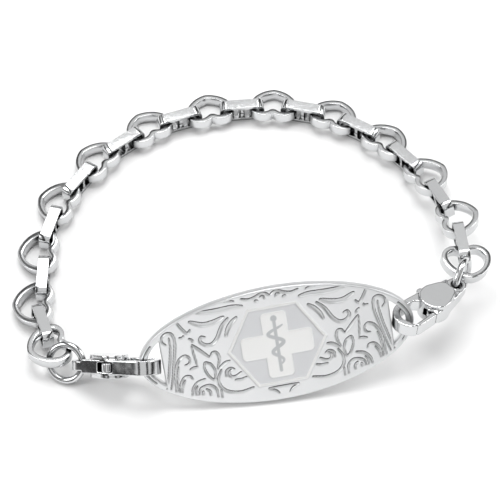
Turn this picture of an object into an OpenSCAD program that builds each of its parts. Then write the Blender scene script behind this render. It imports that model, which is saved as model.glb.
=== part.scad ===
// Medical alert bracelet: an oval tag with slotted ends, two lobster clasps, two jump rings and a
// chain of lying heart links joined by upright band links. The bracelet lies on a flat surface,
// and the tag stands on its lower edge, leaning back.

/* [Tag] */
// Length of the tag along its long axis
tag_len = 41.7; // [38.2:0.5:45.2]
// Height of the tag across its middle
tag_h = 18.6; // [17.1:0.5:20.6]
// Thickness of the tag plate
tag_t = 1.2; // [1:0.1:1.3]
// Radius that the tag is bent to
tag_bend_r = 330; // [250:10:600]
// Width of the curved bar at each end of the tag
tag_bar = 1.15; // [1:0.05:1.3]
// Width of the slot inside each end bar, along the tag
slot_w = 2.3; // [2.2:0.1:2.6]
// Vertex radius of the hexagon frame
hex_r = 7.55; // [6.9:0.05:8]
// Width of the hexagon line
hex_line = 0.4; // [0.3:0.05:0.6]
// Length of one arm of the cross, from its middle
cross_arm = 5.4; // [4.8:0.1:5.5]
// Width of an arm of the cross
cross_w = 3.8; // [3:0.1:4]
// Radius of the cross's outer corners
cross_r = 0.6; // [0.3:0.1:1]
// Depth of the hexagon line and of the cross below the face
mark_deep = 0.12; // [0.1:0.02:0.2]

/* [Heart links] */
// Width of a heart link along the chain
heart_w = 7.8; // [7.5:0.1:8]
// Depth of a heart link from the point to the lobes
heart_d = 6.4; // [6:0.1:6.8]
// Thickness of the strip that the heart is bent from
heart_wall = 0.85; // [0.75:0.05:0.9]
// Height of the strip
heart_h = 1.5; // [1.3:0.05:1.6]
// Outer radius of a lobe
lobe_r = 2.25; // [2.1:0.05:2.4]
// Outer radius of the point
point_r = 1.2; // [1.1:0.05:1.4]
// Outer radius of the bowed side between lobe and point
side_r = 4.6; // [4.3:0.1:5.5]
// Distance from the line of the bands to the middle of the lobes
lobe_up = 0.25; // [0:0.05:0.4]

/* [Band links] */
// Length of a band link along the chain
band_len = 7.3; // [7.2:0.05:7.4]
// Width of the band
band_w = 1.7; // [1.4:0.05:1.75]
// Height of a band link
band_h = 3.4; // [3.3:0.05:3.7]
// Thickness of the band at the top and the bottom
band_bar = 0.6; // [0.5:0.05:0.65]
// Thickness of the band at its ends
band_end = 0.5; // [0.45:0.05:0.55]
// Outer radius of the rounded upper and lower corners
band_r = 1.1; // [0.8:0.1:1.5]
// Radius of the openings' corners
band_in_r = 0.3; // [0.2:0.05:0.4]
// Length of the pinched middle between the two openings
band_mid = 0.5; // [0.3:0.05:0.6]
// Height of the slit that joins the two openings
band_slit = 0.2; // [0.15:0.05:0.3]

/* [Jump rings] */
// Outer diameter of a jump ring
ring_od = 6.6; // [6.4:0.1:6.8]
// Diameter of the ring's wire
ring_wire = 1.1; // [0.9:0.05:1.15]

/* [Clasps] */
// Distance from the middle of the eye to the far side of the nose
clasp_reach = 12.9; // [12.6:0.1:13.2]
// Outer diameter of the eye
eye_od = 3; // [2.8:0.1:3.2]
// Diameter of the hole in the eye
eye_hole = 1.6; // [1.5:0.05:1.7]
// Thickness of the eye
eye_t = 1.5; // [1.2:0.1:1.7]
// Distance from the eye to the middle of the body
body_x = 5; // [4.7:0.1:5.2]
// Radius of the body, seen from the side
body_r = 2.5; // [2.4:0.1:2.7]
// Thickness of the body across its two cheeks
body_t = 3.5; // [3.2:0.1:3.8]
// Outer radius of the claw's bend
claw_r = 2.7; // [2.6:0.1:2.8]
// Thickness of the hook where it goes round the bend
claw_wall = 1.1; // [1:0.05:1.2]
// Width of the hook, across the clasp
claw_t = 2.2; // [2:0.1:2.3]
// Height of the claw's middle above the line of the eye
claw_up = 0.4; // [0.3:0.05:0.5]
// Length of the opening in the claw
claw_open = 4.7; // [4.4:0.1:4.8]
// Thickness of the lever
lever_t = 1.3; // [1.1:0.1:1.5]
// Distance from the pivot to the tip of the lever
lever_reach = 5.6; // [5.4:0.1:5.7]
// Depth of the gate, the front part of the lever
gate_d = 0.7; // [0.65:0.05:0.8]
// Diameter of the lever's hub
hub_d = 2.4; // [2.2:0.1:2.6]
// How far the lever's pivot lies behind the middle of the claw
pivot_back = 4.4; // [4.2:0.1:4.6]
// How far the lever's pivot lies below the middle of the claw
pivot_down = 0.7; // [0.6:0.05:0.8]
// How far the thumb nub leans back from the pivot
nub_back = 0.6; // [0.4:0.1:0.8]
// How far the wide cheeks reach towards the eye from the middle of the body
cheek_run = 1.6; // [1.4:0.1:1.8]
// How much smaller the cheeks are at that end
cheek_drop = 0.6; // [0.5:0.1:0.8]
// Metal left of the cheeks in front of the lever's hub
cheek_lip = 0.3; // [0.2:0.05:0.4]
// How far the flat round the eye is wider than the eye
eye_step = 0.2; // [0.1:0.05:0.3]
// How far the rivet pin's ends lie below the cheeks
pin_sink = 0.1; // [0.05:0.05:0.2]
// Diameter of the rivet pin
pin_d = 0.9; // [0.8:0.05:1]
// Diameter of the thumb nub
nub_d = 1.5; // [1.3:0.1:1.6]
// How far the thumb nub stands out of the body
nub_out = 0.9; // [0.7:0.1:1.1]
// Largest opening angle of the lever
lever_open = 18; // [10:1:18]

/* [Gaps] */
// Gap between the hook's bend and the tag's end bar, along the clasp
seat_play = 0.95; // [0.9:0.05:1]
// How far the end bar sits above the middle of the claw
seat_up = 0.5; // [0.45:0.05:0.55]
// Gap between a lying heart and the bar of the band below it
link_gap = 0.05; // [0.04:0.01:0.06]
// How far a band may sit off the middle of a heart's side
link_slack = 0.35; // [0.3:0.05:0.4]
// Gap between the lever and the clasp's body, on each side and at the tip
lever_gap = 0.08; // [0.05:0.01:0.1]
// Gap between the middle of the eye and the middle of the ring's wire
eye_play = 0.14; // [0.1:0.01:0.2]
// Gap round the rivet pin in the lever's bore
pin_gap = 0.05; // [0.03:0.01:0.08]

/* [Hidden] */
$fn = 48;

// Colours
satin = "#e4e4e4";
steel = "#cfd2d6";
bright = "#dcdee2";

// Middle of the whole on the surface, taken off every place
mid = [0.64, 1.24];

// Route of the chain: place of each heart, its lift off the lying height and its three turns
// [x, y, lift, about x, about y, about z]
route = [
  [-29.68, -19.22, 1.02, 12.3, 8.5, 113.5],
  [-32.36, -11.37, 0.2, 0.3, 1.5, 88.2],
  [-32.1, -1.6, 0, 0, 0, 88],
  [-29.6, 7.7, 0, 0, 0, 69],
  [-24.0, 15.8, 0, 0, 0, 53],
  [-16.1, 22.1, 0, 0, 0, 34],
  [-6.4, 25.5, 0, 0, 0, 14],
  [3.8, 26.5, 0, 0, 0, -3],
  [13.4, 24.4, 0.02, 0, 0, -22],
  [21.4, 19.4, 0.2, 0, -1, -38],
  [27.52, 12.12, 0.96, 5.5, -9.5, -57.3],
  [31.62, 2.48, 3.05, 12.9, -13.6, -74.4],
  [33.25, -5.54, 4.32, 15.4, -8.5, -169.6]
];

// Jump rings: the way from the clasp's eye to the middle of the ring, and the ring's turns
// [way x, way y, way z, about x, about y]
ring_pose = [
  [-2.48, 0.7, -0.42, 40.1, -23.1],
  [1.04, 2.31, -0.62, -24.2, -96.5]
];

// Tag: place of its middle on the surface, its turn, its lean and its roll in its own plane
tag_x = 4.1;
tag_y = -22.8;
tag_turn = 7.1;
tag_lean = 57.9;
tag_roll = 4.7;

// Clasps: place of each hook along its end bar, and its turns about the bar
// [end of the tag, along the bar, bar off its seat along and across, about x, about y, about z]
clasp_pose = [
  [-1, -0.31, 0.07, -0.22, -22.5, -23.9, -0.1],
  [1, -0.39, 0.04, -0.61, 152.3, -37, 6.4]
];

// Shape of the tag's outline
tag_power = 1.93;
tag_steps = 96;

tag_slot_edge = tag_bar + slot_w;
tag_drop = tag_bend_r - sqrt(pow(tag_bend_r, 2) - pow(tag_len / 2, 2));

// Sizes of the heart that follow from the ones above
lobe_x = heart_w / 2 - lobe_r;
point_y = lobe_up - lobe_r + heart_d - point_r;
cleft_y = lobe_up - sqrt(pow(lobe_r, 2) - pow(lobe_x, 2));
point_out = point_y + point_r;
heart_lift = (band_bar + link_gap) / (1 - (band_w / 2 + link_slack) / point_out);
heart_tip = asin(heart_lift / point_out);
lie_z = heart_lift + heart_h / 2 * cos(heart_tip);

// Sizes of the clasp that follow from the ones above
claw_x = clasp_reach - claw_r;
claw_in = claw_r - claw_wall;
pivot = [claw_x - pivot_back, claw_up - pivot_down];
gate_top = claw_up - claw_r + gate_d;
cheek_front = pivot.x + hub_d / 2 + cheek_lip;
nub_at = [pivot.x - nub_back, body_r + nub_out - nub_d / 2];
cheek_r = body_r - cheek_drop;
cheek_back = body_x - cheek_run;

// Turning about the three axes, and vectors
function rx(a) = [[1, 0, 0], [0, cos(a), -sin(a)], [0, sin(a), cos(a)]];
function ry(a) = [[cos(a), 0, sin(a)], [0, 1, 0], [-sin(a), 0, cos(a)]];
function rz(a) = [[cos(a), -sin(a), 0], [sin(a), cos(a), 0], [0, 0, 1]];
function turned(a, b, c) = rz(c) * ry(b) * rx(a);
function unit(v) = v / norm(v);
function column(m, i) = [m[0][i], m[1][i], m[2][i]];
function frame(x, y, z, at) = [
  [x[0], y[0], z[0], at[0]], [x[1], y[1], z[1], at[1]], [x[2], y[2], z[2], at[2]], [0, 0, 0, 1]
];
function placed(m, at) = frame(column(m, 0), column(m, 1), column(m, 2), at);

// Chain: turn and middle of a heart, and the frame of the band before it
function chain_turn(i) = turned(route[i][3], route[i][4], route[i][5]);
function heart_turn(i) = chain_turn(i) * rx(-heart_tip);
function heart_at(i) = [route[i][0] - mid.x, route[i][1] - mid.y, lie_z + route[i][2]];
function side_at(i, way) = heart_at(i) + way * heart_w / 2 * column(heart_turn(i), 0);
function in_cleft(i) = i == len(route) - 1;
function hook_at(i) = in_cleft(i) ? heart_at(i) + heart_turn(i) * [0, cleft_y, 0] : side_at(i, -1);
function band_dir(i) = in_cleft(i) ? unit(hook_at(i) - side_at(i - 1, 1)) : unit(heart_at(i) - heart_at(i - 1));
function band_up(i) = column(chain_turn(i - 1), 2) + column(chain_turn(i), 2);
function band_side(i) = unit(cross(band_up(i), band_dir(i)));
function band_top(i) = cross(band_dir(i), band_side(i));
function band_at(i) = (side_at(i - 1, 1) + hook_at(i)) / 2 + (band_h / 2 - lie_z) * band_top(i);

// Tag: outline, turn and height of its middle, so that its lower edge touches the surface
function outline(length, height) = [
  for (i = [0 : tag_steps - 1]) let (a = 360 * i / tag_steps)
    [sign(cos(a)) * length / 2 * pow(abs(cos(a)), 2 / tag_power),
     sign(sin(a)) * height / 2 * pow(abs(sin(a)), 2 / tag_power)]
];
function bend_z(x) = sqrt(pow(tag_bend_r, 2) - x * x) - tag_bend_r;
tag_m = rz(tag_turn) * rx(tag_lean) * rz(tag_roll);
tag_rim = outline(tag_len, tag_h);
tag_z = -min([for (p = tag_rim) for (t = [0, tag_t]) (tag_m * [p.x, p.y, bend_z(p.x) - t]).z]);
tag_at = [tag_x - mid.x, tag_y - mid.y, tag_z];

// Clasp: where the end bar sits in the claw, and the frame of each clasp
seat = [claw_x + claw_in - seat_play - tag_bar / 2, 0, claw_up + seat_up];
function bar_mid(k) = let (s = clasp_pose[k][0], x = s * (tag_len - tag_bar) / 2)
  tag_at + tag_m * [x, clasp_pose[k][1], bend_z(x) - tag_t / 2];
function clasp_turn(k) = let (p = clasp_pose[k])
  tag_m * (p[0] > 0 ? rz(180) : rz(0)) * turned(p[4], p[5], p[6]);
function clasp_at(k) = bar_mid(k) - clasp_turn(k) * (seat + [clasp_pose[k][2], 0, clasp_pose[k][3]]);

function ring_at(k) = let (p = ring_pose[k])
  clasp_at(k) + ((ring_od - ring_wire) / 2 - eye_play) * unit([p[0], p[1], p[2]]);

module put(m, at) {
  multmatrix(placed(m, at)) children();
}

// Flat arm from a disc at p, which is not drawn, to a disc at q, with straight sides that touch both
module arm(p, rp, q, rq) {
  d = norm(q - p);
  a = atan2(q.y - p.y, q.x - p.x);
  b = acos((rp - rq) / d);
  translate(q) circle(rq);
  polygon([
    p + rp * [cos(a + b), sin(a + b)], p + rp * [cos(a - b), sin(a - b)],
    q + rq * [cos(a - b), sin(a - b)], q + rq * [cos(a + b), sin(a + b)]
  ]);
}

module taper(p, rp, q, rq) {
  translate(p) circle(rp);
  arm(p, rp, q, rq);
}

// Flat rectangle with rounded corners, about its middle
module round_rect(l, h, r) {
  square([l - 2 * r, h], center = true);
  square([l, h - 2 * r], center = true);
  for (x = [-1, 1], y = [-1, 1]) translate([x * (l / 2 - r), y * (h / 2 - r)]) circle(r);
}

// One shape drawn in the plane of the clasp's claw and given a thickness across it
module across(t) {
  rotate([90, 0, 0]) linear_extrude(t, center = true) children();
}

// Tag
module slot_2d(way) {
  intersection() {
    polygon(outline(tag_len - 2 * tag_bar, tag_h - 2 * tag_bar));
    translate([way * (tag_len / 2 - tag_slot_edge + slot_w), 0])
      square([2 * slot_w, tag_h], center = true);
  }
}

module cross_2d() {
  for (a = [0, 90]) rotate(a) round_rect(2 * cross_arm, cross_w, cross_r);
}

module mark_2d() {
  difference() {
    circle(hex_r, $fn = 6);
    circle(hex_r - hex_line / cos(30), $fn = 6);
  }
  cross_2d();
}

module tag_round(deep) {
  translate([0, 0, -tag_bend_r]) rotate([90, 0, 0])
    cylinder(h = 3 * tag_h, r = tag_bend_r - deep, center = true, $fn = 360);
}

module tag() {
  color(satin) put(tag_m, tag_at) difference() {
    intersection() {
      translate([0, 0, -tag_drop - 2 * tag_t]) linear_extrude(tag_drop + 3 * tag_t) difference() {
        polygon(tag_rim);
        slot_2d(-1);
        slot_2d(1);
      }
      tag_round(0);
    }
    tag_round(tag_t);
    difference() {
      translate([0, 0, -tag_t]) linear_extrude(2 * tag_t) mark_2d();
      tag_round(mark_deep);
    }
  }
}

// Heart links
module bowed_side(way, inset) {
  q = [way * lobe_x, lobe_up];
  p = [0, point_y];
  rq = side_r - lobe_r;
  rp = side_r - point_r;
  d = norm(p - q);
  along = (rq * rq - rp * rp + d * d) / (2 * d);
  off = sqrt(rq * rq - along * along);
  e = (p - q) / d;
  s = q + along * e + way * off * [-e.y, e.x];
  intersection() {
    translate(s) circle(side_r - inset);
    polygon([s, s + 2 * side_r * unit(q - s), s + 2 * side_r * unit(p - s)]);
  }
}

module heart_fill(inset) {
  for (way = [-1, 1]) {
    translate([way * lobe_x, lobe_up]) circle(lobe_r - inset);
    bowed_side(way, inset);
  }
  translate([0, point_y]) circle(point_r - inset);
  polygon([[-lobe_x, lobe_up], [lobe_x, lobe_up], [0, point_y]]);
}

module heart_2d() {
  difference() {
    heart_fill(0);
    heart_fill(heart_wall);
    difference() {
      polygon([[-lobe_x, lobe_up], [lobe_x, lobe_up], [0, cleft_y]]);
      translate([0, cleft_y]) circle(heart_wall);
    }
  }
}

module heart(i) {
  color(steel) put(heart_turn(i), heart_at(i)) linear_extrude(heart_h, center = true) heart_2d();
}

// Band links
module band_2d() {
  hole_l = band_len / 2 - band_end - band_mid / 2;
  hole_h = band_h - 2 * band_bar;
  difference() {
    round_rect(band_len, band_h, band_r);
    for (way = [-1, 1]) translate([way * (band_mid + hole_l) / 2, 0])
      round_rect(hole_l, hole_h, band_in_r);
    square([2 * band_mid, band_slit], center = true);
  }
}

module band(i) {
  color(bright) multmatrix(frame(band_dir(i), band_side(i), band_top(i), band_at(i)))
    across(band_w) band_2d();
}

// Jump rings
module jump_ring(k) {
  p = ring_pose[k];
  color(bright) put(turned(p[3], p[4], 0), ring_at(k))
    rotate_extrude() translate([(ring_od - ring_wire) / 2, 0]) circle(ring_wire / 2);
}

// Clasps
module claw_2d() {
  difference() {
    union() {
      taper([0, 0], eye_od / 2, [body_x, 0], body_r);
      taper([body_x, 0], body_r, [claw_x, claw_up], claw_r);
    }
    taper([claw_x + claw_in - claw_open + claw_in, claw_up], claw_in, [claw_x, claw_up], claw_in);
  }
}

module gate_strip(more) {
  intersection() {
    taper([body_x, 0], body_r + more, [claw_x, claw_up], claw_r + more);
    translate([cheek_front - more, gate_top + more - claw_r]) square([claw_r + lever_reach, claw_r]);
  }
}

module lever_arms(more) {
  arm(pivot, nub_d / 2 + more, nub_at, nub_d / 2 + more);
  arm(pivot, hub_d / 2 + more, [cheek_front + gate_d, gate_top - gate_d / 2], gate_d / 2 + more);
}

// The room that a part of the lever sweeps as it opens
module swept() {
  for (a = [0 : lever_open / 3 : lever_open]) translate(pivot) rotate(a) translate(-pivot) children();
}

module clasp_body_shape() {
  difference() {
    union() {
      across(claw_t) claw_2d();
      across(body_t) taper([cheek_back, 0], cheek_r, [body_x, 0], body_r);
    }
    across(eye_od) circle(eye_hole / 2);
    for (way = [-1, 1]) translate([0, way * (eye_t + body_t) / 2, 0])
      across(body_t) circle(eye_od / 2 + eye_step);
    across(2 * body_t) intersection() {
      swept() gate_strip(lever_gap);
      translate(pivot) circle(lever_reach + lever_gap);
    }
    across(lever_t + 2 * lever_gap) {
      translate(pivot) circle(hub_d / 2 + lever_gap);
      swept() lever_arms(lever_gap);
    }
  }
  across(body_t - 2 * pin_sink) translate(pivot) circle(pin_d / 2);
}

module lever_shape() {
  difference() {
    union() {
      across(lever_t) {
        translate(pivot) circle(hub_d / 2);
        lever_arms(0);
      }
      across(claw_t) intersection() {
        gate_strip(0);
        translate(pivot) circle(lever_reach);
      }
    }
    across(2 * lever_t) translate(pivot) circle(pin_d / 2 + pin_gap);
  }
}

module clasp_body(k) {
  color(bright) put(clasp_turn(k), clasp_at(k)) clasp_body_shape();
}

module clasp_lever(k) {
  color(steel) put(clasp_turn(k), clasp_at(k)) lever_shape();
}

tag();
heart(0);  // heart_00
heart(1);  // heart_01
heart(2);  // heart_02
heart(3);  // heart_03
heart(4);  // heart_04
heart(5);  // heart_05
heart(6);  // heart_06
heart(7);  // heart_07
heart(8);  // heart_08
heart(9);  // heart_09
heart(10);  // heart_10
heart(11);  // heart_11
heart(12);  // heart_12
band(1);  // band_01
band(2);  // band_02
band(3);  // band_03
band(4);  // band_04
band(5);  // band_05
band(6);  // band_06
band(7);  // band_07
band(8);  // band_08
band(9);  // band_09
band(10);  // band_10
band(11);  // band_11
band(12);  // band_12
jump_ring(0);  // ring_left
jump_ring(1);  // ring_right
clasp_body(0);  // clasp_left
clasp_body(1);  // clasp_right
clasp_lever(0);  // lever_left
clasp_lever(1);  // lever_right
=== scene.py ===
"""Dresses a medical alert bracelet: an engraved oval tag, two lobster clasps and a chain of heart links.

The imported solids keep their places. The tag's solid is replaced by an engraved plate of the same
outline, and every other piece keeps its solid, with broken edges and a finish of its own.
"""
import logging
import math
from dataclasses import dataclass, field
from enum import Enum

import bpy
import numpy as np
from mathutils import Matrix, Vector
from mathutils.geometry import delaunay_2d_cdt

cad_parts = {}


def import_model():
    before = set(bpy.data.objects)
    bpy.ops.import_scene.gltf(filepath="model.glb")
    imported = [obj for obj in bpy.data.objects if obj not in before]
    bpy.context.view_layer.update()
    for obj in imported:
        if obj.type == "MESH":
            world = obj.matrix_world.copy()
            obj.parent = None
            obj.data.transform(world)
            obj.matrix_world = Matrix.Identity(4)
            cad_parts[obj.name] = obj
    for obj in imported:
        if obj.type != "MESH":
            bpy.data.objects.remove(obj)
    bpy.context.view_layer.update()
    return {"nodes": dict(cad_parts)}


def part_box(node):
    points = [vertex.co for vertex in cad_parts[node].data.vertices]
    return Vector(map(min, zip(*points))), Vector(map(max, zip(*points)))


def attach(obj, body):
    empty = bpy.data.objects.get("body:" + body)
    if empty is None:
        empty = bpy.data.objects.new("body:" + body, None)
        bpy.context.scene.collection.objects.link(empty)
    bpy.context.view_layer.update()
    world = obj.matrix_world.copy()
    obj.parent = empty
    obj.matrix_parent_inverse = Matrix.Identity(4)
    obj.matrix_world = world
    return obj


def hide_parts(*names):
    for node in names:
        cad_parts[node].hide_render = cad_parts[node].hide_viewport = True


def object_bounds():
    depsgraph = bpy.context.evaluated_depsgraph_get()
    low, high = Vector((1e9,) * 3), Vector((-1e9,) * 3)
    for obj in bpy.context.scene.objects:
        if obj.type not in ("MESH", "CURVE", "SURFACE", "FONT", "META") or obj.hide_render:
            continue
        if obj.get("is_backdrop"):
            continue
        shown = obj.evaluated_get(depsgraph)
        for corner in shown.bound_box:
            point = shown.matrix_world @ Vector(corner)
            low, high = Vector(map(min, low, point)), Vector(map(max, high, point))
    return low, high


MM = 0.001
log = logging.getLogger("bracelet")


class Wear(Enum):
    """How a solid was made, and so how its edges are broken. A drawn wire has no edge to break."""

    STAMPED = "stamped"
    CAST = "cast"
    DRAWN = "drawn"


def linear(hex_colour: str) -> tuple[float, float, float, float]:
    """Turns an sRGB hex colour into the linear numbers that a shader takes.

    Args:
        hex_colour: six hex digits after a hash sign.

    Returns:
        Linear red, green and blue, and an alpha of one.
    """
    channels = [int(hex_colour[i:i + 2], 16) / 255 for i in (1, 3, 5)]
    line = [c / 12.92 if c <= 0.04045 else ((c + 0.055) / 1.055) ** 2.4 for c in channels]
    return line[0], line[1], line[2], 1.0


def add_node(tree: bpy.types.NodeTree, kind: str, inputs: dict | None = None,
             **settings: object) -> bpy.types.Node:
    """Adds a node with its settings, and sets or links its inputs.

    Args:
        tree: the node tree.
        kind: the node's type, without the ShaderNode prefix.
        inputs: socket name or number to a value, or to an output socket that is linked in.
        settings: the node's own properties.

    Returns:
        The new node.
    """
    node = tree.nodes.new("ShaderNode" + kind)
    for name, value in settings.items():
        setattr(node, name, value)
    for socket, value in (inputs or {}).items():
        if isinstance(value, bpy.types.NodeSocket):
            tree.links.new(value, node.inputs[socket])
        else:
            node.inputs[socket].default_value = value
    return node


def new_tree(name: str) -> tuple[bpy.types.Material, bpy.types.NodeTree]:
    """Makes an empty node material.

    Args:
        name: what the material is called.

    Returns:
        The material and its node tree.
    """
    material = bpy.data.materials.new(name)
    material.use_nodes = True
    material.node_tree.nodes.clear()
    return material, material.node_tree


def ramp(distance: np.ndarray, wall: float) -> np.ndarray:
    """Turns a signed distance into a share: one inside, zero outside, and smooth between.

    The share is three t squared less two t cubed, where t falls evenly from one to zero over the wall.

    Args:
        distance: signed distances, negative inside.
        wall: width over which the share falls.

    Returns:
        The share at each place.
    """
    t = (0.5 - distance / wall).clip(0, 1)
    return t * t * (3 - 2 * t)


def turn_about(axis: int, degrees: float) -> np.ndarray:
    """Makes the matrix of a turn about one axis, from the cosine and the sine of the angle.

    Args:
        axis: 0, 1 or 2, for x, y or z.
        degrees: how far it turns.

    Returns:
        A matrix of three rows and three columns.
    """
    c, s = math.cos(math.radians(degrees)), math.sin(math.radians(degrees))
    i, j = (axis + 1) % 3, (axis + 2) % 3
    turn = np.eye(3)
    turn[i, i], turn[i, j], turn[j, i], turn[j, j] = c, -s, s, c
    return turn


@dataclass(frozen=True)
class PolishedSteel:
    """Stainless steel 316L, stamped or cast and then barrel polished.

    The polish leaves a near mirror, with a faint orange peel and short hairlines from the barrel.
    The recesses are painted dark by ambient occlusion, as painted shade. The real hairlines are finer
    than the width given here, and are drawn that coarse so that they show.
    """

    name: str = "barrel_polished_316L_steel"
    colour: str = "#D3D4D5"
    roughness: float = 0.09
    peel_mm: float = 0.9
    peel_depth: float = 0.012
    hairline_mm: float = 0.12
    hairline_roughness: float = 0.07
    hairline_stretch: float = 6.0
    hairline_range: tuple[float, float] = (0.35, 0.7)
    # painted shade: the dark colour that the recesses are painted with
    painted_shade: str = "#141517"
    recess_mm: float = 1.6
    recess_range: tuple[float, float] = (0.3, 0.75)
    recess_rays: int = 12

    def material(self) -> bpy.types.Material:
        """Builds the material on Object coordinates.

        Returns:
            The finished material.
        """
        material, tree = new_tree(self.name)
        place = add_node(tree, "TexCoord").outputs["Object"]
        peel = add_node(tree, "TexNoise", {
            "Vector": place, "Scale": 1 / (self.peel_mm * MM), "Detail": 2.0})
        across = self.hairline_stretch
        lines = add_node(tree, "Mapping", {"Vector": place, "Scale": (1.0, across, across)})
        hair = add_node(tree, "TexNoise", {
            "Vector": lines.outputs["Vector"], "Scale": 1 / (across * self.hairline_mm * MM), "Detail": 3.0})
        low, high = self.hairline_range
        rough = add_node(tree, "MapRange", {
            "Value": hair.outputs["Fac"], "From Min": low, "From Max": high,
            "To Min": self.roughness, "To Max": self.roughness + self.hairline_roughness})
        bump = add_node(tree, "Bump", {
            "Height": peel.outputs["Fac"], "Distance": self.peel_mm * MM, "Strength": self.peel_depth})
        # painted shade: ambient occlusion mixes the painted shade colour into the recesses
        open_side = add_node(tree, "AmbientOcclusion", {
            "Distance": self.recess_mm * MM}, samples=self.recess_rays)
        low, high = self.recess_range
        out_of_shade = add_node(tree, "MapRange", {
            "Value": open_side.outputs["AO"], "From Min": low, "From Max": high})
        tone = add_node(tree, "MixRGB", {
            "Fac": out_of_shade.outputs["Result"], "Color1": linear(self.painted_shade), "Color2": linear(self.colour)})
        shader = add_node(tree, "BsdfPrincipled", {
            "Base Color": tone.outputs["Color"], "Metallic": 1.0,
            "Roughness": rough.outputs["Result"], "Normal": bump.outputs["Normal"]})
        add_node(tree, "OutputMaterial", {"Surface": shader.outputs["BSDF"]})
        return material


@dataclass(frozen=True)
class EngravedSatinSteel:
    """Stainless steel 316L plate, satin tumbled, machine engraved and part sand blasted.

    The tumbled face is an even pale grey without a mirror, the cuts are painted dark under their
    upper walls and on their floors, and the rounded rim too, as painted shade, and the blasted line
    and cross are nearly white. The real grain is finer than the width given here, and is drawn that
    coarse so that it shows.
    """

    name: str = "satin_tumbled_engraved_316L_steel"
    face: str = "#E6E7E8"
    field_tone: str = "#D6D7D9"
    # painted shade: the dark colour of the cuts' upper walls, their floors and the rounded rim
    painted_shade: str = "#17181A"
    blasted: str = "#F7F7F6"
    print_tone: str = "#C6C8CA"
    face_roughness: float = 0.36
    blasted_roughness: float = 0.75
    grain_mm: float = 0.16
    grain_depth: float = 0.08
    cloud_mm: float = 7.0
    cloud_range: tuple[float, float] = (0.3, 0.7)
    cloud_roughness: float = 0.03
    dull_metallic: float = 0.15

    def material(self) -> bpy.types.Material:
        """Builds the material from the plate's own attributes and Object coordinates.

        Returns:
            The finished material.
        """
        material, tree = new_tree(self.name)
        place = add_node(tree, "TexCoord").outputs["Object"]
        mask = {n: add_node(tree, "Attribute", attribute_name=n).outputs["Fac"] for n in EngravedTag.MASKS}
        cloud = add_node(tree, "TexNoise", {
            "Vector": place, "Scale": 1 / (self.cloud_mm * MM), "Detail": 3.0})
        grain = add_node(tree, "TexNoise", {
            "Vector": place, "Scale": 1 / (self.grain_mm * MM), "Detail": 4.0})
        tone = add_node(tree, "MixRGB", {
            "Fac": mask["hex_field"], "Color1": linear(self.face), "Color2": linear(self.field_tone)})
        # the painted_shade layer lays painted shade over the cuts and the rim
        layers = {"blasted": self.blasted, "staff": self.print_tone, "painted_shade": self.painted_shade}
        for name, colour in layers.items():
            tone = add_node(tree, "MixRGB", {
                "Fac": mask[name], "Color1": tone.outputs["Color"], "Color2": linear(colour)})
        low, high = self.cloud_range
        rough = add_node(tree, "MapRange", {
            "Value": cloud.outputs["Fac"], "From Min": low, "From Max": high,
            "To Min": self.face_roughness - self.cloud_roughness,
            "To Max": self.face_roughness + self.cloud_roughness})
        rough = add_node(tree, "MapRange", {
            "Value": mask["blasted"], "To Min": rough.outputs["Result"], "To Max": self.blasted_roughness})
        # the painted shade is made less metallic, as the blasted marks are
        dull = add_node(tree, "Math", {
            0: mask["blasted"], 1: mask["painted_shade"]}, operation="MAXIMUM", use_clamp=True)
        metal = add_node(tree, "MapRange", {
            "Value": dull.outputs["Value"], "To Min": 1.0, "To Max": self.dull_metallic})
        bump = add_node(tree, "Bump", {
            "Height": grain.outputs["Fac"], "Distance": self.grain_mm * MM, "Strength": self.grain_depth})
        shader = add_node(tree, "BsdfPrincipled", {
            "Base Color": tone.outputs["Color"], "Metallic": metal.outputs["Result"],
            "Roughness": rough.outputs["Result"], "Normal": bump.outputs["Normal"]})
        add_node(tree, "OutputMaterial", {"Surface": shader.outputs["BSDF"]})
        return material


@dataclass(frozen=True)
class Cut:
    """One stroke of the engraver: points along its middle in millimetres, and its widest width.

    A blunt stroke keeps its width to its ends, and any other narrows to a share of it, the tip.
    """

    points: tuple[tuple[float, float], ...]
    width: float = 0.4
    blunt: bool = False
    tip: float = 0.35

    def samples(self, spacing: float) -> tuple[np.ndarray, np.ndarray]:
        """Runs a smooth curve through the points: a cubic between each two of them.

        At each point the curve runs parallel to the line between the point before and the point
        after it. Past each end one more point is set, in line with the last two.

        Args:
            spacing: distance between samples along the curve.

        Returns:
            Sample points, and half the stroke's width at each, swelling as the root of a sine.
        """
        p = np.array(self.points, float)
        p = np.vstack([2 * p[0] - p[1], p, 2 * p[-1] - p[-2]])
        count = np.maximum(2, np.linalg.norm(np.diff(p[1:-1], axis=0), axis=1) // spacing + 2).astype(int)
        pieces = []
        for i, n in enumerate(count):
            t = np.linspace(0, 1, n, endpoint=i == len(count) - 1)[:, None]
            a, b, c, d = p[i:i + 4]
            pieces.append(0.5 * (2 * b + (c - a) * t + (2 * a - 5 * b + 4 * c - d) * t ** 2
                                 + (3 * b - a - 3 * c + d) * t ** 3))
        line = np.vstack(pieces)
        along = np.linspace(0, 1, len(line))
        arch = np.sqrt(np.sin(np.pi * along).clip(0))
        swell = np.ones(len(line)) if self.blunt else self.tip + (1 - self.tip) * arch
        return line, swell * self.width / 2


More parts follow.
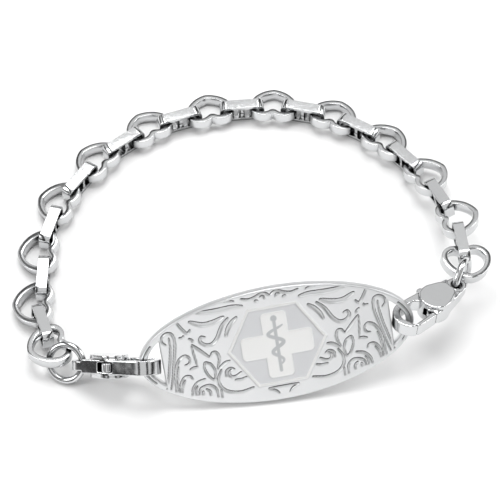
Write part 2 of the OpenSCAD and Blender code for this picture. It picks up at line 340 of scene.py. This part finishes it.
@dataclass
class EngravedTag:
    """The identification plate: bent oval, slotted ends, scrolls, hexagon, cross and staff.

    Lengths are in millimetres from the plate's middle, x along it and y across it, and angles are
    in degrees. The scrolls given are those of the right half, and the left half mirrors them.
    """

    MASKS = ("painted_shade", "blasted", "hex_field", "staff")

    length: float = 41.7
    height: float = 18.6
    thickness: float = 1.2
    bend_radius: float = 330.0
    bar: float = 1.15
    slot_width: float = 2.3
    power: float = 1.93
    turn: float = 7.1
    lean: float = 57.9
    roll: float = 4.7
    hex_radius: float = 7.55
    hex_line: float = 0.4
    cross_arm: float = 5.4
    cross_width: float = 3.8
    cross_corner: float = 0.6
    staff_span: tuple[float, float] = (-4.4, 4.1)
    staff_width: float = 0.5
    knob_span: tuple[float, float] = (4.3, 4.4)
    knob_width: float = 0.95
    serpent_span: tuple[float, float] = (-3.3, 3.1)
    serpent_swing: tuple[float, float] = (0.55, 1.3)
    serpent_start: float = 0.15
    serpent_bends: float = 4.2
    serpent_width: float = 0.62
    staff_inset: float = 0.3
    mark_depth: float = 0.12
    cut_depth: float = 0.2
    cut_wall: float = 0.14
    bar_line_share: float = 0.33
    bar_line_width: float = 0.24
    # painted shade: how far a stroke is moved down to find its upper wall, and how strongly walls, floors
    # and rim are painted dark
    shade_drop_mm: float = 0.15
    upper_wall_shade: float = 2.4
    cut_floor_shade: float = 0.12
    rim_shade: float = 0.35
    edge_round: float = 0.22
    rim_land: float = 0.35
    grid_step: float = 0.1
    drawing_rounds: int = 4
    stroke_reach: float = 0.8
    no_stroke: float = 9.0
    scrolls: tuple[Cut, ...] = field(default=(
        Cut(((4.3, 7.3), (5.8, 7.45), (8.0, 7.3), (10.0, 7.35), (11.5, 7.6)), 0.75),
        Cut(((5.4, 8.3), (6.2, 8.5), (6.9, 8.45)), 0.3),
        Cut(((7.3, 6.1), (9.0, 5.5), (10.6, 5.4), (12.4, 6.2)), 0.75),
        Cut(((6.7, 5.8), (7.8, 4.6), (8.7, 2.9), (9.6, 2.0), (10.6, 2.0), (11.3, 2.7), (11.1, 3.4),
             (10.5, 3.3)), 0.5),
        Cut(((5.4, 5.7), (6.3, 4.9), (7.0, 3.9), (7.4, 2.9)), 0.6),
        Cut(((16.4, 3.0), (16.9, 3.6), (16.8, 4.4), (16.0, 4.9), (15.2, 4.5), (15.1, 2.8), (15.6, 0.3),
             (16.2, -2.4), (16.8, -4.5)), 0.36),
        Cut(((15.8, 4.1), (15.8, 2.8), (16.2, 0.4), (16.8, -2.2), (17.4, -4.3)), 0.32),
        Cut(((14.1, -0.8), (13.5, -0.6), (13.3, 0.2), (13.9, 0.75), (14.9, 0.2), (15.6, -1.4), (15.9, -3.2),
             (16.1, -5.0)), 0.36),
        Cut(((15.1, -0.9), (15.5, -2.6), (15.7, -5.0)), 0.28),
        Cut(((13.3, -3.3), (13.6, -2.8), (14.4, -2.75), (15.1, -3.6), (15.5, -5.2)), 0.36),
        Cut(((14.5, -3.3), (15.0, -4.2), (15.2, -5.3)), 0.28),
        Cut(((14.4, 6.6), (13.7, 5.3), (13.0, 4.4), (12.5, 4.9)), 0.38),
        Cut(((13.6, 4.1), (13.8, 3.8), (14.3, 3.85)), 0.3),
        Cut(((12.9, 3.5), (12.4, 3.1), (12.4, 2.8)), 0.3),
        Cut(((12.6, 2.4), (11.5, 1.2), (10.3, -0.1)), 0.38),
        Cut(((10.2, 0.0), (9.8, 0.55), (9.2, 0.5), (8.9, -0.3), (9.1, -1.4), (9.4, -2.2)), 0.36),
        Cut(((12.7, 2.2), (12.5, 0.3), (12.3, -1.4)), 0.26),
        Cut(((12.3, -1.4), (12.9, -1.45), (13.5, -1.65)), 0.34),
        Cut(((10.9, -0.9), (10.2, -1.4), (9.8, -2.6), (10.1, -3.95), (10.8, -3.3), (11.3, -2.0),
             (11.2, -1.0), (10.9, -0.9)), 0.3, True),
        Cut(((7.4, -1.25), (8.2, -1.5), (9.3, -2.3)), 0.42),
        Cut(((8.9, -2.5), (9.5, -3.8), (9.4, -5.2), (8.4, -6.3), (6.6, -6.75), (4.5, -6.35)), 0.42),
        Cut(((6.0, -3.45), (6.9, -4.0), (7.6, -3.9), (7.8, -3.2), (7.2, -2.65)), 0.4),
        Cut(((6.9, -2.8), (7.5, -2.5), (8.2, -2.9), (8.3, -3.8)), 0.32),
        Cut(((5.3, -4.4), (6.1, -4.65), (7.1, -4.6)), 0.34),
        Cut(((11.5, -3.6), (12.7, -4.0), (13.5, -4.9), (13.8, -6.0)), 0.4),
        Cut(((12.8, -4.6), (13.1, -5.2), (13.2, -6.1)), 0.28),
        Cut(((10.0, -7.0), (10.1, -5.6), (10.8, -4.85), (11.7, -4.8), (12.5, -5.2), (12.8, -6.1)), 0.36),
        Cut(((11.1, -6.5), (11.1, -5.8), (11.6, -5.3)), 0.34),
        Cut(((12.1, -5.6), (12.2, -6.2)), 0.4),
        Cut(((9.4, -5.8), (9.4, -6.5), (9.4, -7.2)), 0.3),
        Cut(((0.0, 8.3), (0.6, 8.75), (1.3, 8.8), (2.2, 8.4), (3.2, 8.2), (4.3, 8.5)), 0.38),
        Cut(((0.8, 7.9), (1.0, 8.35), (1.5, 8.3)), 0.26),
        Cut(((2.0, 7.75), (2.2, 7.8)), 0.34, True),
        Cut(((0.0, -7.0), (1.2, -7.0), (2.2, -7.05)), 0.32, True),
        Cut(((2.2, -7.15), (1.3, -7.55), (0.8, -8.1)), 0.3),
    ))

    def radial(self, x: np.ndarray, y: np.ndarray, inset: float) -> np.ndarray:
        """Signed distance to the oval, about: its level value over the length of its slope.

        The oval is the curve where the powers of x over half the length and of y over half the
        height add up to one.

        Args:
            x: places along the plate.
            y: places across it.
            inset: how far the oval lies inside the plate's own edge.

        Returns:
            The distances, negative inside.
        """
        a, b = self.length / 2 - inset, self.height / 2 - inset
        u, v = np.abs(x) / a, np.abs(y) / b
        above_zero = 1e-9
        level = (u ** self.power + v ** self.power) ** (1 / self.power) + above_zero
        slope = np.hypot((u / level) ** (self.power - 1) / a, (v / level) ** (self.power - 1) / b)
        return (level - 1) / slope

    def outside(self, x: np.ndarray, y: np.ndarray) -> np.ndarray:
        """Signed distance to the plate with its two D slots: the larger of oval and slot distances.

        Args:
            x: places along the plate.
            y: places across it.

        Returns:
            The distances, negative in the metal.
        """
        slot_edge = self.length / 2 - self.bar - self.slot_width
        in_slot = np.maximum(self.radial(x, y, self.bar), slot_edge - np.abs(x))
        return np.maximum(self.radial(x, y, 0.0), -in_slot)

    def hexagon(self, x: np.ndarray, y: np.ndarray) -> np.ndarray:
        """Signed distance to the hexagon: the largest of the distances to its three pairs of sides.

        Args:
            x: places along the plate.
            y: places across it.

        Returns:
            The distances, negative inside.
        """
        sides = [np.abs(x * math.cos(a) + y * math.sin(a)) for a in np.radians([30, 90, 150])]
        return np.max(sides, axis=0) - self.hex_radius * math.cos(math.pi / 6)

    def cross(self, x: np.ndarray, y: np.ndarray) -> np.ndarray:
        """Signed distance to the cross: the smaller of two rounded bars at right angles.

        Args:
            x: places along the plate.
            y: places across it.

        Returns:
            The distances, negative inside.
        """
        bars = []
        for p, q in ((x, y), (y, x)):
            dx = np.abs(p) - self.cross_arm + self.cross_corner
            dy = np.abs(q) - self.cross_width / 2 + self.cross_corner
            past_corner = np.hypot(dx.clip(0), dy.clip(0)) + np.maximum(dx, dy).clip(None, 0)
            bars.append(past_corner - self.cross_corner)
        return np.minimum(bars[0], bars[1])

    def staff(self) -> list[Cut]:
        """A plain staff with a knob and one serpent wound on it: x swings as a sine of the height.

        The swing widens evenly from the serpent's tail to its head.

        Returns:
            The strokes of the mark.
        """
        up = np.linspace(0, 1, 25)
        (tail, head), (narrow, wide) = self.serpent_span, self.serpent_swing
        swing = narrow + (wide - narrow) * up
        sway = swing * np.sin(np.pi * (self.serpent_start + self.serpent_bends * up))
        serpent = np.column_stack([sway, tail + (head - tail) * up])
        foot, top = self.staff_span
        rod = ((0.0, foot), (0.0, 0.0), (0.0, top))
        knob = tuple((0.0, height) for height in self.knob_span)
        return [Cut(rod, self.staff_width, True), Cut(knob, self.knob_width, True),
                Cut(tuple(map(tuple, serpent)), self.serpent_width)]

    def stroke_distance(self, x: np.ndarray, y: np.ndarray, cuts: list[Cut]) -> np.ndarray:
        """Signed distance to a set of strokes: the least distance to a sample less its half width.

        Args:
            x: places along the plate.
            y: places across it.
            cuts: the strokes.

        Returns:
            The distances, negative in a stroke, and a large number beyond the strokes' reach.
        """
        best = np.full(x.shape, self.no_stroke)
        for cut in cuts:
            line, half = cut.samples(self.grid_step)
            lo, hi = line.min(0) - self.stroke_reach, line.max(0) + self.stroke_reach
            near = (x > lo[0]) & (x < hi[0]) & (y > lo[1]) & (y < hi[1])
            gap = np.hypot(x[near][:, None] - line[:, 0], y[near][:, None] - line[:, 1]) - half
            best[near] = np.minimum(best[near], gap.min(1))
        return best

    def bar_lines(self) -> list[Cut]:
        """The line along the middle of each end bar, worked out on the oval half a bar inside.

        Returns:
            The line of the right end, as a list of one stroke.
        """
        a, b = self.length / 2 - self.bar / 2, self.height / 2 - self.bar / 2
        y = np.linspace(-self.bar_line_share, self.bar_line_share, 13) * self.height / 2
        x = a * (1 - np.abs(y / b) ** self.power) ** (1 / self.power)
        return [Cut(tuple(zip(x, y)), self.bar_line_width, True)]

    def relief(self, x: np.ndarray, y: np.ndarray) -> tuple[np.ndarray, dict[str, np.ndarray]]:
        """Works out how deep the face lies below the bent plane, where each finish is, and where shade is
        painted.

        The depth is each cut's depth times its share, plus a quarter circle at the rim. The cuts
        stop short of the rim. Shade is painted where a stroke isn't covered by the same stroke moved
        down, so under its upper wall, more faintly on each cut's floor, and along the rounded rim.

        Args:
            x: places along the plate.
            y: places across it.

        Returns:
            Depth in millimetres, and a mask from 0 to 1 for each finish and for the painted shade.
        """
        strokes = list(self.scrolls) + self.bar_lines()
        outline, hexagon, cross = self.outside(x, y), self.hexagon(x, y), self.cross(x, y)
        scroll = ramp(self.stroke_distance(np.abs(x), y, strokes), self.cut_wall)
        scroll = scroll * ramp(outline + self.rim_land, self.edge_round)
        # painted shade: the stroke moved down, to find each cut's upper wall
        lowered = ramp(self.stroke_distance(np.abs(x), y + self.shade_drop_mm, strokes), self.cut_wall)
        line = np.abs(hexagon + self.hex_line / 2) - self.hex_line / 2
        mark = np.maximum(ramp(line, self.cut_wall), ramp(cross, self.cut_wall))
        staff = ramp(self.stroke_distance(x, y, self.staff()), self.cut_wall)
        rim = (self.edge_round + outline).clip(0, self.edge_round)
        rounded = self.edge_round - np.sqrt(self.edge_round ** 2 - rim ** 2)
        depth = self.cut_depth * scroll + self.mark_depth * mark + rounded
        # painted shade: dark under each cut's upper wall, fainter on its floor, and along the rounded rim
        cut_shade = scroll * (1 - lowered) * self.upper_wall_shade + self.cut_floor_shade * scroll
        masks = {
            "painted_shade": (cut_shade + self.rim_shade * rim / self.edge_round).clip(0, 1),
            "blasted": mark,
            "hex_field": ramp(hexagon + self.hex_line, self.cut_wall) * (1 - mark),
            "staff": staff * ramp(cross + self.staff_inset, self.cut_wall),
        }
        return depth, masks

    def face_grid(self) -> tuple[np.ndarray, np.ndarray]:
        """Lays a square grid over the plate, and draws its outer points onto the outline.

        A point is drawn in against the slope of its signed distance, by the distance times the
        slope over the slope squared, and this is done a few times.

        Returns:
            Points in the plate's plane, and the quads between them.
        """
        step = self.grid_step
        nx, ny = (int(size / 2 / step) + 2 for size in (self.length, self.height))
        gx, gy = np.meshgrid(np.arange(-nx, nx + 1) * step, np.arange(-ny, ny + 1) * step)
        keep = self.outside((gx[:-1, :-1] + gx[1:, 1:]) / 2, (gy[:-1, :-1] + gy[1:, 1:]) / 2) < 0
        number = np.arange(gx.size).reshape(gx.shape)
        quads = np.stack([number[:-1, :-1], number[:-1, 1:], number[1:, 1:], number[1:, :-1]], -1)[keep]
        faces_at = np.bincount(quads.ravel(), minlength=gx.size)
        p = np.column_stack([gx.ravel(), gy.ravel()])
        edge = (faces_at > 0) & (faces_at < 4)
        q, h, flattest = p[edge], self.grid_step / 1000, 1e-6
        for _ in range(self.drawing_rounds):
            value = self.outside(q[:, 0], q[:, 1])
            slope = np.column_stack([
                self.outside(q[:, 0] + h, q[:, 1]) - self.outside(q[:, 0] - h, q[:, 1]),
                self.outside(q[:, 0], q[:, 1] + h) - self.outside(q[:, 0], q[:, 1] - h)]) / (2 * h)
            q = q - slope * (value / (slope ** 2).sum(1).clip(flattest))[:, None]
        p[edge] = q
        used, quads = np.unique(quads, return_inverse=True)
        return p[used], quads.reshape(-1, 4)

    def back_face(self, corners: np.ndarray, sides: np.ndarray) -> np.ndarray:
        """Fills the outline with triangles from corner to corner, and leaves the slots open.

        Args:
            corners: the outline's points in the plate's plane.
            sides: numbers of the two corners of each side.

        Returns:
            Numbers of the three corners of each triangle.
        """
        same_point = 1e-6
        fill = delaunay_2d_cdt([Vector(c) for c in corners.tolist()], sides.tolist(), [], 0, same_point)
        faces, sources = fill[2], fill[3]
        triangles = np.array([[sources[i][0] for i in face] for face in faces])
        centre = corners[triangles].mean(1)
        return triangles[self.outside(centre[:, 0], centre[:, 1]) < 0]

    def build(self) -> bpy.types.Object:
        """Joins the engraved face, the wall round it and the plain back into one closed plate.

        Face and back are bent to two circles about one centre, a plate's thickness apart.

        Returns:
            The plate's object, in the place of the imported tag.
        """
        flat, quads = self.face_grid()
        depth, masks = self.relief(flat[:, 0], flat[:, 1])
        sides = np.stack([quads, np.roll(quads, -1, 1)], -1).reshape(-1, 2)
        _, first, count = np.unique(np.sort(sides, 1), axis=0, return_index=True, return_counts=True)
        rim = sides[first[count == 1]]
        rim_points, local = np.unique(rim, return_inverse=True)
        local = local.reshape(-1, 2)
        triangles = self.back_face(flat[rim_points], local)
        bend = np.sqrt(self.bend_radius ** 2 - flat[:, 0] ** 2) - self.bend_radius
        low = np.sqrt((self.bend_radius - self.thickness) ** 2 - flat[rim_points, 0] ** 2) - self.bend_radius
        top = np.column_stack([flat, bend - depth])
        bottom = np.column_stack([flat[rim_points], low])
        first_low = len(top)
        walls = np.column_stack([rim[:, 1], rim[:, 0], local[:, 0] + first_low, local[:, 1] + first_low])
        faces = quads.tolist() + walls.tolist() + (triangles[:, ::-1] + first_low).tolist()
        points = self.placed(np.vstack([top, bottom]))
        mesh = bpy.data.meshes.new("engraved_tag")
        mesh.from_pydata(points.tolist(), [], faces)
        for name, mask in masks.items():
            layer = mesh.attributes.new(name, "FLOAT", "POINT")
            layer.data.foreach_set("value", np.append(mask, np.zeros(len(bottom))).astype(np.float32))
        smooth = np.zeros(len(mesh.polygons), bool)
        smooth[:len(quads)] = True
        mesh.polygons.foreach_set("use_smooth", smooth)
        mesh.update()
        piece = bpy.data.objects.new("engraved_tag", mesh)
        bpy.context.scene.collection.objects.link(piece)
        return piece

    def placed(self, points: np.ndarray) -> np.ndarray:
        """Rolls, leans and turns the plate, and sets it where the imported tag's box is.

        Args:
            points: points of the plate in its own millimetres.

        Returns:
            The same points in metres, in the frame.
        """
        stance = turn_about(2, self.turn) @ turn_about(0, self.lean) @ turn_about(2, self.roll)
        turned = points @ stance.T * MM
        low, high = (np.array(corner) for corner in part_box("tag"))
        shift = (low + high) / 2 - (turned.min(0) + turned.max(0)) / 2
        return turned + shift

    def dress(self, body: str) -> None:
        """Builds the plate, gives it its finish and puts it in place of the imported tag.

        Args:
            body: the body that the plate rides on.
        """
        piece = self.build()
        piece.data.materials.append(EngravedSatinSteel().material())
        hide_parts("tag")
        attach(piece, body)
        log.info("engraved_tag: %d faces", len(piece.data.polygons))


@dataclass
class SolidPieces:
    """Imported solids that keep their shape: broken edges, then one finish.

    The edge is the width of a stamped piece's bevel, or the size of a cast piece's grain.
    """

    prefixes: tuple[str, ...]
    finish: PolishedSteel
    wear: Wear
    edge_mm: float = 0.07
    edge_steps: int = 2
    edge_angle: float = 35.0
    tumbling: float = 0.5
    tumbling_rounds: int = 26
    weld_mm: float = 0.001

    def soften(self, piece: bpy.types.Object) -> None:
        """Breaks the edges as the real piece's making did.

        Args:
            piece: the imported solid's object.
        """
        weld = piece.modifiers.new("weld", "WELD")
        weld.merge_threshold = self.weld_mm * MM
        if self.wear is Wear.CAST:
            skin = piece.modifiers.new("cast_skin", "REMESH")
            skin.mode = "VOXEL"
            skin.voxel_size = self.edge_mm * MM
            skin.use_smooth_shade = True
            tumble = piece.modifiers.new("tumbled", "SMOOTH")
            tumble.factor = self.tumbling
            tumble.iterations = self.tumbling_rounds
        elif self.wear is Wear.STAMPED:
            edge = piece.modifiers.new("broken_edge", "BEVEL")
            edge.width = self.edge_mm * MM
            edge.segments = self.edge_steps
            edge.limit_method = "ANGLE"
            edge.angle_limit = math.radians(self.edge_angle)
            piece.modifiers.new("even_faces", "WEIGHTED_NORMAL")

    def dress(self, nodes: dict[str, bpy.types.Object]) -> None:
        """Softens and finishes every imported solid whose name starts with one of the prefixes.

        Args:
            nodes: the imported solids' objects by name.
        """
        material = self.finish.material()
        for name, piece in sorted(nodes.items()):
            if not name.startswith(self.prefixes):
                continue
            piece.data.materials.clear()
            piece.data.materials.append(material)
            piece.data.polygons.foreach_set("use_smooth", np.ones(len(piece.data.polygons), bool))
            self.soften(piece)
            log.info("%s: %s", name, self.wear.value)


@dataclass
class HeartChain:
    """Heart links, the band links between them, and a jump ring at each end of the chain."""

    heart_edge_mm: float = 0.07
    band_edge_mm: float = 0.05

    def dress(self, nodes: dict[str, bpy.types.Object]) -> None:
        """Dresses hearts, bands and rings, each in the finish of its own stock.

        Args:
            nodes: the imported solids' objects by name.
        """
        stamped = PolishedSteel(name="stamped_polished_316L_steel", roughness=0.14)
        strip = PolishedSteel(name="strip_polished_316L_steel", roughness=0.08)
        drawn = PolishedSteel(name="drawn_polished_316L_steel", roughness=0.06)
        SolidPieces(("heart_",), stamped, Wear.STAMPED, self.heart_edge_mm).dress(nodes)
        SolidPieces(("band_",), strip, Wear.STAMPED, self.band_edge_mm).dress(nodes)
        SolidPieces(("ring_",), drawn, Wear.DRAWN).dress(nodes)


@dataclass
class LobsterClasps:
    """Two cast clasps: bodies with their eye, cheeks, hook and rivet, and the sprung levers."""

    grain_mm: float = 0.07

    def dress(self, nodes: dict[str, bpy.types.Object]) -> None:
        """Dresses bodies and levers in one finish, with a broader orange peel than the links'.

        Args:
            nodes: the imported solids' objects by name.
        """
        cast = PolishedSteel(name="cast_polished_316L_steel", roughness=0.1, peel_mm=3.0, peel_depth=0.03)
        SolidPieces(("clasp_", "lever_"), cast, Wear.CAST, self.grain_mm).dress(nodes)


@dataclass
class Studio:
    """Pale floor, large soft boxes and the camera at the photograph's angle.

    Each step of a room's grey gives its place, from 0 to 1, and its grey.
    """

    elevation: float = 56.056
    distance_mm: float = 356.37
    focal_px: float = 2253.84
    image_px: float = 500.0
    sensor_mm: float = 36.0
    aim_mm: tuple[float, float] = (-0.64, -1.24)
    floor_m: float = 3.0
    floor_gap_m: float = 1e-6
    floor_colour: str = "#F6F6F6"
    height_greys: tuple[tuple[float, float], ...] = (
        (0.0, 0.5), (0.14, 0.5), (0.22, 0.03), (0.34, 0.03), (0.5, 0.8), (1.0, 0.85))
    side_greys: tuple[tuple[float, float], ...] = (
        (0.0, 1.0), (0.3, 1.0), (0.38, 0.1), (0.52, 0.1), (0.6, 1.0), (1.0, 1.0))

    def camera(self) -> None:
        """Sets the camera on a line at the elevation, looking at the aim point on the floor."""
        e = math.radians(self.elevation)
        aim = Vector((self.aim_mm[0], self.aim_mm[1], 0)) * MM
        data = bpy.data.cameras.new("camera")
        data.sensor_width = self.sensor_mm
        data.lens = self.sensor_mm * self.focal_px / self.image_px
        data.clip_start = 0.01
        view = bpy.data.objects.new("camera", data)
        view.location = aim + Vector((0, -math.cos(e), math.sin(e))) * self.distance_mm * MM
        view.rotation_euler = (math.pi / 2 - e, 0, 0)
        bpy.context.scene.collection.objects.link(view)
        bpy.context.scene.camera = view

    def floor(self) -> None:
        """Lays a pale matt floor, just under the lowest point of the bracelet."""
        h = self.floor_m / 2
        z = min(0.0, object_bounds()[0][2]) - self.floor_gap_m
        mesh = bpy.data.meshes.new("floor")
        mesh.from_pydata([(-h, -h, z), (h, -h, z), (h, h, z), (-h, h, z)], [], [(0, 1, 2, 3)])
        sweep = bpy.data.objects.new("floor", mesh)
        bpy.context.scene.collection.objects.link(sweep)
        material, tree = new_tree("matt_white_card")
        shader = add_node(tree, "BsdfPrincipled", {
            "Base Color": linear(self.floor_colour), "Roughness": 0.9, "Specular IOR Level": 0.1})
        add_node(tree, "OutputMaterial", {"Surface": shader.outputs["BSDF"]})
        mesh.materials.append(material)
        sweep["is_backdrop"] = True

    def lights(self) -> None:
        """Hangs the soft boxes, facing the frame's origin.

        The table gives the name, place, width and height in metres and power in watts of each.
        """
        boxes = (
            ("top_box", (0.0, 0.3, 0.75), 0.5, 0.4, 3.4),
            ("left_box", (-0.6, -0.1, 0.45), 0.3, 0.4, 1.6),
            ("right_box", (0.55, 0.2, 0.4), 0.2, 0.4, 1.4),
            ("front_box", (0.05, -0.9, 0.2), 0.9, 0.3, 0.8),
        )
        for name, place, width, height, power in boxes:
            data = bpy.data.lights.new(name, "AREA")
            data.shape = "RECTANGLE"
            data.size, data.size_y, data.energy = width, height, power
            lamp = bpy.data.objects.new(name, data)
            lamp.location = place
            lamp.rotation_euler = (Vector(place) * -1).to_track_quat("-Z", "Y").to_euler()
            bpy.context.scene.collection.objects.link(lamp)

    def surroundings(self) -> None:
        """Makes the room: pale above and low down, a dark band between, and two dark cards at the sides."""
        world = bpy.data.worlds.new("studio")
        world.use_nodes = True
        tree = world.node_tree
        tree.nodes.clear()
        look = add_node(tree, "SeparateXYZ", {"Vector": add_node(tree, "TexCoord").outputs["Generated"]})
        side = add_node(tree, "Math", {0: look.outputs["X"]}, operation="ABSOLUTE")
        room = self.grey_ramp(tree, look.outputs["Z"], self.height_greys)
        cards = self.grey_ramp(tree, side.outputs["Value"], self.side_greys)
        tone = add_node(tree, "MixRGB", {
            "Fac": 1.0, "Color1": room, "Color2": cards}, blend_type="MULTIPLY")
        back = add_node(tree, "Background", {"Color": tone.outputs["Color"], "Strength": 1.0})
        add_node(tree, "OutputWorld", {"Surface": back.outputs["Background"]})
        bpy.context.scene.world = world

    def grey_ramp(self, tree: bpy.types.NodeTree, value: bpy.types.NodeSocket,
                  stops: tuple[tuple[float, float], ...]) -> bpy.types.NodeSocket:
        """Turns a value into a grey by smooth steps.

        Args:
            tree: the node tree.
            value: the socket that drives the ramp.
            stops: place and grey of each step, in order.

        Returns:
            The ramp's colour socket.
        """
        node = add_node(tree, "ValToRGB", {"Fac": value})
        greys = node.color_ramp
        greys.interpolation = "EASE"
        given = len(greys.elements)
        for i, (place, grey) in enumerate(stops):
            element = greys.elements[i] if i < given else greys.elements.new(place)
            element.position = place
            element.color = (grey, grey, grey, 1.0)
        return node.outputs["Color"]

    def set_up(self) -> None:
        """Sets up camera, floor, lights and room, and a plain view without a film curve."""
        self.camera()
        self.floor()
        self.lights()
        self.surroundings()
        bpy.context.scene.view_settings.view_transform = "Standard"


def main() -> None:
    """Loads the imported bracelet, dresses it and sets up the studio."""
    logging.basicConfig(level=logging.INFO, format="%(message)s")
    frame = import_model()
    nodes = frame["nodes"]
    EngravedTag().dress("bracelet")
    HeartChain().dress(nodes)
    LobsterClasps().dress(nodes)
    Studio().set_up()


if __name__ == "__main__":
    main()
